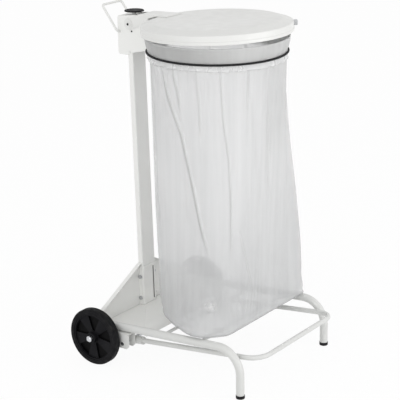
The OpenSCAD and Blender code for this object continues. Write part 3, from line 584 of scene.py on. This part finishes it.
def bottom_place(angle, share):
    """The bottom: share is 0 in the sealed knot and 1 at the edge."""
    a = math.radians(angle)
    edge = bottom_radius(angle)
    x = KNOT_X * (1 - share) + edge * math.cos(a) * share
    y = edge * math.sin(a) * share
    away = math.hypot(x - KNOT_X, y)
    near = math.exp(-away / 0.03)
    pleat = math.sin(a * 9 + 1.3 * math.sin(a * 3))
    lift = 0.010 * (1 - share * share) + 0.016 * math.exp(-((away / 0.014) ** 2))
    lift += near * (0.005 * pleat + 0.0025 * math.sin(a * 23))
    lift += 0.006 * share * (1 - share) * noise.noise((30 * x, 30 * y, 2))
    # painted shade in the gathered knot, and a painted highlight through its crush value
    return (x, y, BOTTOM_Z + max(0.0004, lift)), 0.5 * near, near


def collar_place(angle, v):
    """The film outside the hoop: v is 0 at the hoop's top and 1 at the hem, which lifts at the post."""
    a = math.radians(angle)
    ca, sa = math.cos(a), math.sin(a)
    from_post = abs((angle - POST_ANGLE + 180) % 360 - 180)
    lift = 1 - smooth((from_post - 14) / 20)
    top = HOOP_Z + HOOP_H
    strap = elastic_height(angle)
    hem = strap - 0.018
    hem += (top - 0.0145 - hem) * lift
    ragged = 0.003 * noise.noise((6 * ca, 6 * sa, 3)) + 0.0012 * noise.noise((19 * ca, 19 * sa, 9))
    z = top + (hem + ragged * (1 - lift) - top) * v
    radius = hoop_radius(max(z, HOOP_Z)) + 0.0011
    above = z - strap
    if above > 0:  # gathered lightly towards the strap
        pinch = math.exp(-above / 0.01) * smooth((above - 0.001) / 0.003)
        radius += pinch * 0.0005 * (1 + math.sin(a * 47 + 2 * math.sin(a * 7)))
        belly = smooth((above - 0.003) / 0.016) * smooth((top - z) / 0.012) * (1 - lift)
        radius += belly * (0.0012 + 0.0016 * noise.noise((5 * ca, 5 * sa, 9 * z)))
    else:  # the hem stands away in soft scallops
        flare = smooth((-above - 0.003) / 0.013) * (1 - lift)
        ruffle = noise.noise((5 * ca, 5 * sa, 7)) + 0.7 * noise.noise((13 * ca, 13 * sa, 3))
        radius += flare * (0.0036 + 0.0034 * ruffle)
    post_side = smooth(0.5 - 0.8 * math.cos(a + math.radians(58)))
    shaded = smooth((z - strap) / 0.01) * (0.22 + 0.3 * post_side)
    hem_highlight = smooth(-(z - strap) / 0.004) * (1 - lift)
    # painted shadow at the hem's lower edge, and a painted highlight on the hem through the crush value
    return (radius * ca, radius * sa, z), max(0.3 * smooth((v - 0.96) / 0.03), shaded), 0.42 * hem_highlight


def bag_place(angle, row):
    """Place, painted shade and crush of the film at an angle and a row, counted from the knot upwards; the
    crush also carries a painted highlight.
    """
    if row <= BOTTOM_ROWS:
        return bottom_place(angle, row / BOTTOM_ROWS)
    row -= BOTTOM_ROWS
    if row <= BODY_ROWS:
        return body_place(angle, row / BODY_ROWS)
    row -= BODY_ROWS
    a = math.radians(angle)
    top = HOOP_Z + HOOP_H
    if row <= HOOP_ROWS:
        z = HOOP_Z + HOOP_H * row / HOOP_ROWS
        radius = hoop_radius(z) - HOOP_T - 0.0012
        return (radius * math.cos(a), radius * math.sin(a), z), 0.0, 0.0
    row -= HOOP_ROWS
    if row <= LIP_ROWS:
        turn = math.pi * row / LIP_ROWS
        radius = hoop_radius(top) - HOOP_T / 2 - (HOOP_T / 2 + 0.00115) * math.cos(turn)
        return (radius * math.cos(a), radius * math.sin(a), top + 0.0011 * math.sin(turn)), 0.0, 0.0
    row -= LIP_ROWS
    return collar_place(angle, row / COLLAR_ROWS)


def bag_film():
    """Milky film: painted shade greys its creases, the hollow at the front, the collar under the lid and the
    gathered bottom, and lets less through there; a painted highlight whitens the knot and the hem.
    """
    finish = Finish("bag_film", IOR=1.35, Transmission_Weight=0.3, Specular_IOR_Level=0.6)
    fold = finish.node("ShaderNodeAttribute", {"attribute_name": "fold"}, None, "Fac")
    crush = finish.node("ShaderNodeAttribute", {"attribute_name": "crush"}, None, "Fac")
    around = finish.spot(kind="UV")
    streak = finish.cloud(1.0, 3.0, 0.5, stretch=(34.0, 1.6, 1.0), where=around).ramp(0.25, 0.75)
    patch = finish.cloud(4.0, 3.0).ramp(0.3, 0.7)
    height = finish.spot("Z").ramp(0.15, 0.62)
    shade = streak * 0.25 + patch * 0.2 + height * 0.55
    milk = finish.mix(shade, (0.70, 0.705, 0.71), (0.9, 0.902, 0.905))
    # painted shade greys the milk along the creases, the hollow, the collar and the bottom
    toward_shade = finish.mix(fold * 0.8, milk, (0.36, 0.365, 0.35))
    # painted highlight: the crush value whitens the knot and the hem, besides crumpling them
    finish.coat(Base_Color=finish.mix(crush * 0.8, toward_shade, (0.97, 0.97, 0.97)))
    finish.coat(Alpha=0.45 + streak * 0.03 + fold * 0.5 + crush * 0.3)
    crumple = finish.cloud(48.0, 3.0, 0.5, stretch=(1.0, 1.0, 0.4))
    finish.coat(Roughness=crumple.ramp(0.3, 0.7, 0.3, 0.46) - crush * 0.18)
    drape = finish.dent(finish.cloud(1.0, 2.0, 0.5, stretch=(26.0, 1.6, 1.0), where=around), 0.003, 0.22)
    low = finish.spot("Z").ramp(0.15, 0.3, 0.7, 0.05) + crush.ramp(0.5, 0.9) * 1.4
    finish.coat(Normal=finish.dent(crumple * low, 0.003, 0.4, under=drape))
    return finish.material


def make_bag():
    angles = []
    for start, end, number in COLUMNS:
        angles += [start + (end - start) * i / number for i in range(number)]
    columns = len(angles)
    rows = BOTTOM_ROWS + BODY_ROWS + HOOP_ROWS + LIP_ROWS + COLLAR_ROWS
    deselect_all()
    bpy.ops.mesh.primitive_grid_add(x_subdivisions=columns, y_subdivisions=rows, size=1)
    bag = bpy.context.active_object
    bag.name = "bag_folded_film"
    folds = [0.0] * len(bag.data.vertices)
    crush_and_highlight = list(folds)
    for v in bag.data.vertices:
        column = round((v.co.x + 0.5) * columns) % columns
        row = round((v.co.y + 0.5) * rows)
        place, folds[v.index], crush_and_highlight[v.index] = bag_place(angles[column], row)
        v.co = (place[0], place[1] + HOOP_Y, place[2])
    for name, values in (("fold", folds), ("crush", crush_and_highlight)):
        bag.data.attributes.new(name, "FLOAT", "POINT").data.foreach_set("value", values)
    # the grid closes into a tube: its seam and its middle point are merged
    edit = bmesh.new()
    edit.from_mesh(bag.data)
    bmesh.ops.remove_doubles(edit, verts=edit.verts, dist=0.000002)
    bmesh.ops.recalc_face_normals(edit, faces=edit.faces)
    edit.to_mesh(bag.data)
    edit.free()
    bag.data.shade_smooth()
    wall = bag.modifiers.new("film", "SOLIDIFY")
    wall.thickness = FILM_T
    wall.offset = 0
    bpy.ops.object.modifier_apply(modifier=wall.name)
    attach(bag, "frame")
    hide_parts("bag")
    dress(bag, bag_film())


make_bag()


# Elastic strap.
# One endless loop of braided elastic cord, stretched round the hoop over the film. It has slipped a
# little lower at the front, and its black cover shows its plait as fine slanting ribs.
CORD_R = 0.0029
# From the hoop's wall, over the film, to the cord's middle
CORD_AWAY = 0.0046


def braided_cover():
    finish = Finish("elastic_cover", Specular_IOR_Level=0.15)
    where = finish.spot()
    plait = finish.node(
        "ShaderNodeTexWave",
        {"bands_direction": "DIAGONAL"},
        {"Vector": where, "Scale": 260.0, "Distortion": 1.5, "Detail": 2.0},
        "Fac",
    )
    finish.coat(Base_Color=finish.mix(plait, (0.008, 0.008, 0.009), (0.03, 0.03, 0.032)))
    finish.coat(Roughness=finish.cloud(90.0).ramp(0.3, 0.7, 0.62, 0.8))
    finish.coat(Normal=finish.dent(plait, 0.0004, 0.8))
    return finish.material


def make_elastic():
    deselect_all()
    bpy.ops.mesh.primitive_torus_add(major_segments=240, minor_segments=14, major_radius=1, minor_radius=0.1)
    loop = bpy.context.active_object
    loop.name = "elastic_loop"
    for v in loop.data.vertices:
        angle = math.degrees(math.atan2(v.co.y, v.co.x))
        height = elastic_height(angle)
        thick = CORD_R * (1 + 0.04 * noise.noise((v.co.x * 4, v.co.y * 4, 0)))
        radius = hoop_radius(height) + CORD_AWAY + (math.hypot(v.co.x, v.co.y) - 1) * 10 * thick
        a = math.radians(angle)
        v.co = (radius * math.cos(a), HOOP_Y + radius * math.sin(a), height + v.co.z * 10 * thick)
    loop.data.shade_smooth()
    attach(loop, "frame")
    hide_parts("elastic_strap")
    dress(loop, elastic_cover)


elastic_cover = braided_cover()
dress(nodes["elastic_strap"], elastic_cover)
make_elastic()


# Floor, walls and light.
# A plain pale floor under a soft even studio light. The camera and reflections see it white, with the
# holder's own shadow on it; everything else sees an ordinary pale floor.
FLOOR_SHADE = 0.86
SHADOW_SHARE = 0.07
WORLD_STRENGTH = 0.76


def studio_floor(shade, shadow):
    finish = Finish("studio_floor")
    matt = finish.node("ShaderNodeBsdfDiffuse", None, {"Color": (shade, shade, shade)})
    clean = finish.node("ShaderNodeEmission", None, {"Strength": 1.0})
    caught = finish.node("ShaderNodeBsdfDiffuse", None, {"Color": (1.0, 1.0, 1.0)})
    seen = finish.node("ShaderNodeMixShader", None, {0: shadow, 1: clean, 2: caught})
    looked = finish.node("ShaderNodeLightPath", out="Is Camera Ray")
    for way in ("Is Glossy Ray", "Is Transmission Ray"):
        looked = looked.work("MAXIMUM", looked, finish.node("ShaderNodeLightPath", out=way))
    both = finish.node("ShaderNodeMixShader", None, {0: looked, 1: matt, 2: seen})
    finish.tree.links.new(both.socket, finish.tree.nodes["Material Output"].inputs["Surface"])
    return finish.material


deselect_all()
bpy.ops.mesh.primitive_plane_add(size=16, location=(0, 0, -0.0002))
floor = bpy.context.active_object
floor.name = "floor"
floor.data.materials.append(studio_floor(FLOOR_SHADE, SHADOW_SHARE))

world = bpy.data.worlds.new("studio")
bpy.context.scene.world = world
world.use_nodes = True
sky = world.node_tree
lit = sky.nodes["Background"]
lit.inputs["Color"].default_value = (1, 1, 1, 1)
lit.inputs["Strength"].default_value = WORLD_STRENGTH
shown = sky.nodes.new("ShaderNodeBackground")
shown.inputs["Color"].default_value = (1, 1, 1, 1)
shown.inputs["Strength"].default_value = 1.0
way = sky.nodes.new("ShaderNodeLightPath")
most = None
for name in ("Is Camera Ray", "Is Glossy Ray", "Is Transmission Ray"):
    larger = sky.nodes.new("ShaderNodeMath")
    larger.operation = "MAXIMUM"
    sky.links.new(way.outputs[name], larger.inputs[0])
    larger.inputs[1].default_value = 0.0
    if most:
        sky.links.new(most.outputs[0], larger.inputs[1])
    most = larger
choose = sky.nodes.new("ShaderNodeMixShader")
sky.links.new(most.outputs[0], choose.inputs[0])
sky.links.new(lit.outputs[0], choose.inputs[1])
sky.links.new(shown.outputs[0], choose.inputs[2])
sky.links.new(choose.outputs[0], sky.nodes["World Output"].inputs["Surface"])


def lamp(name, place, target, size, power):
    """A square soft box that faces a target."""
    data = bpy.data.lights.new(name, "AREA")
    data.shape = "SQUARE"
    data.size = size
    data.energy = power
    box = bpy.data.objects.new(name, data)
    bpy.context.scene.collection.objects.link(box)
    box.location = place
    box.rotation_mode = "QUATERNION"
    box.rotation_quaternion = (Vector(target) - Vector(place)).to_track_quat("-Z", "Y")


lamp("key", (-3.4, -0.7, 1.5), (0, 0, 0.5), 2.0, 26)
lamp("fill", (0.5, -3.5, 1.1), (0, 0, 0.45), 2.4, 41)
bpy.context.scene.view_settings.view_transform = "Standard"
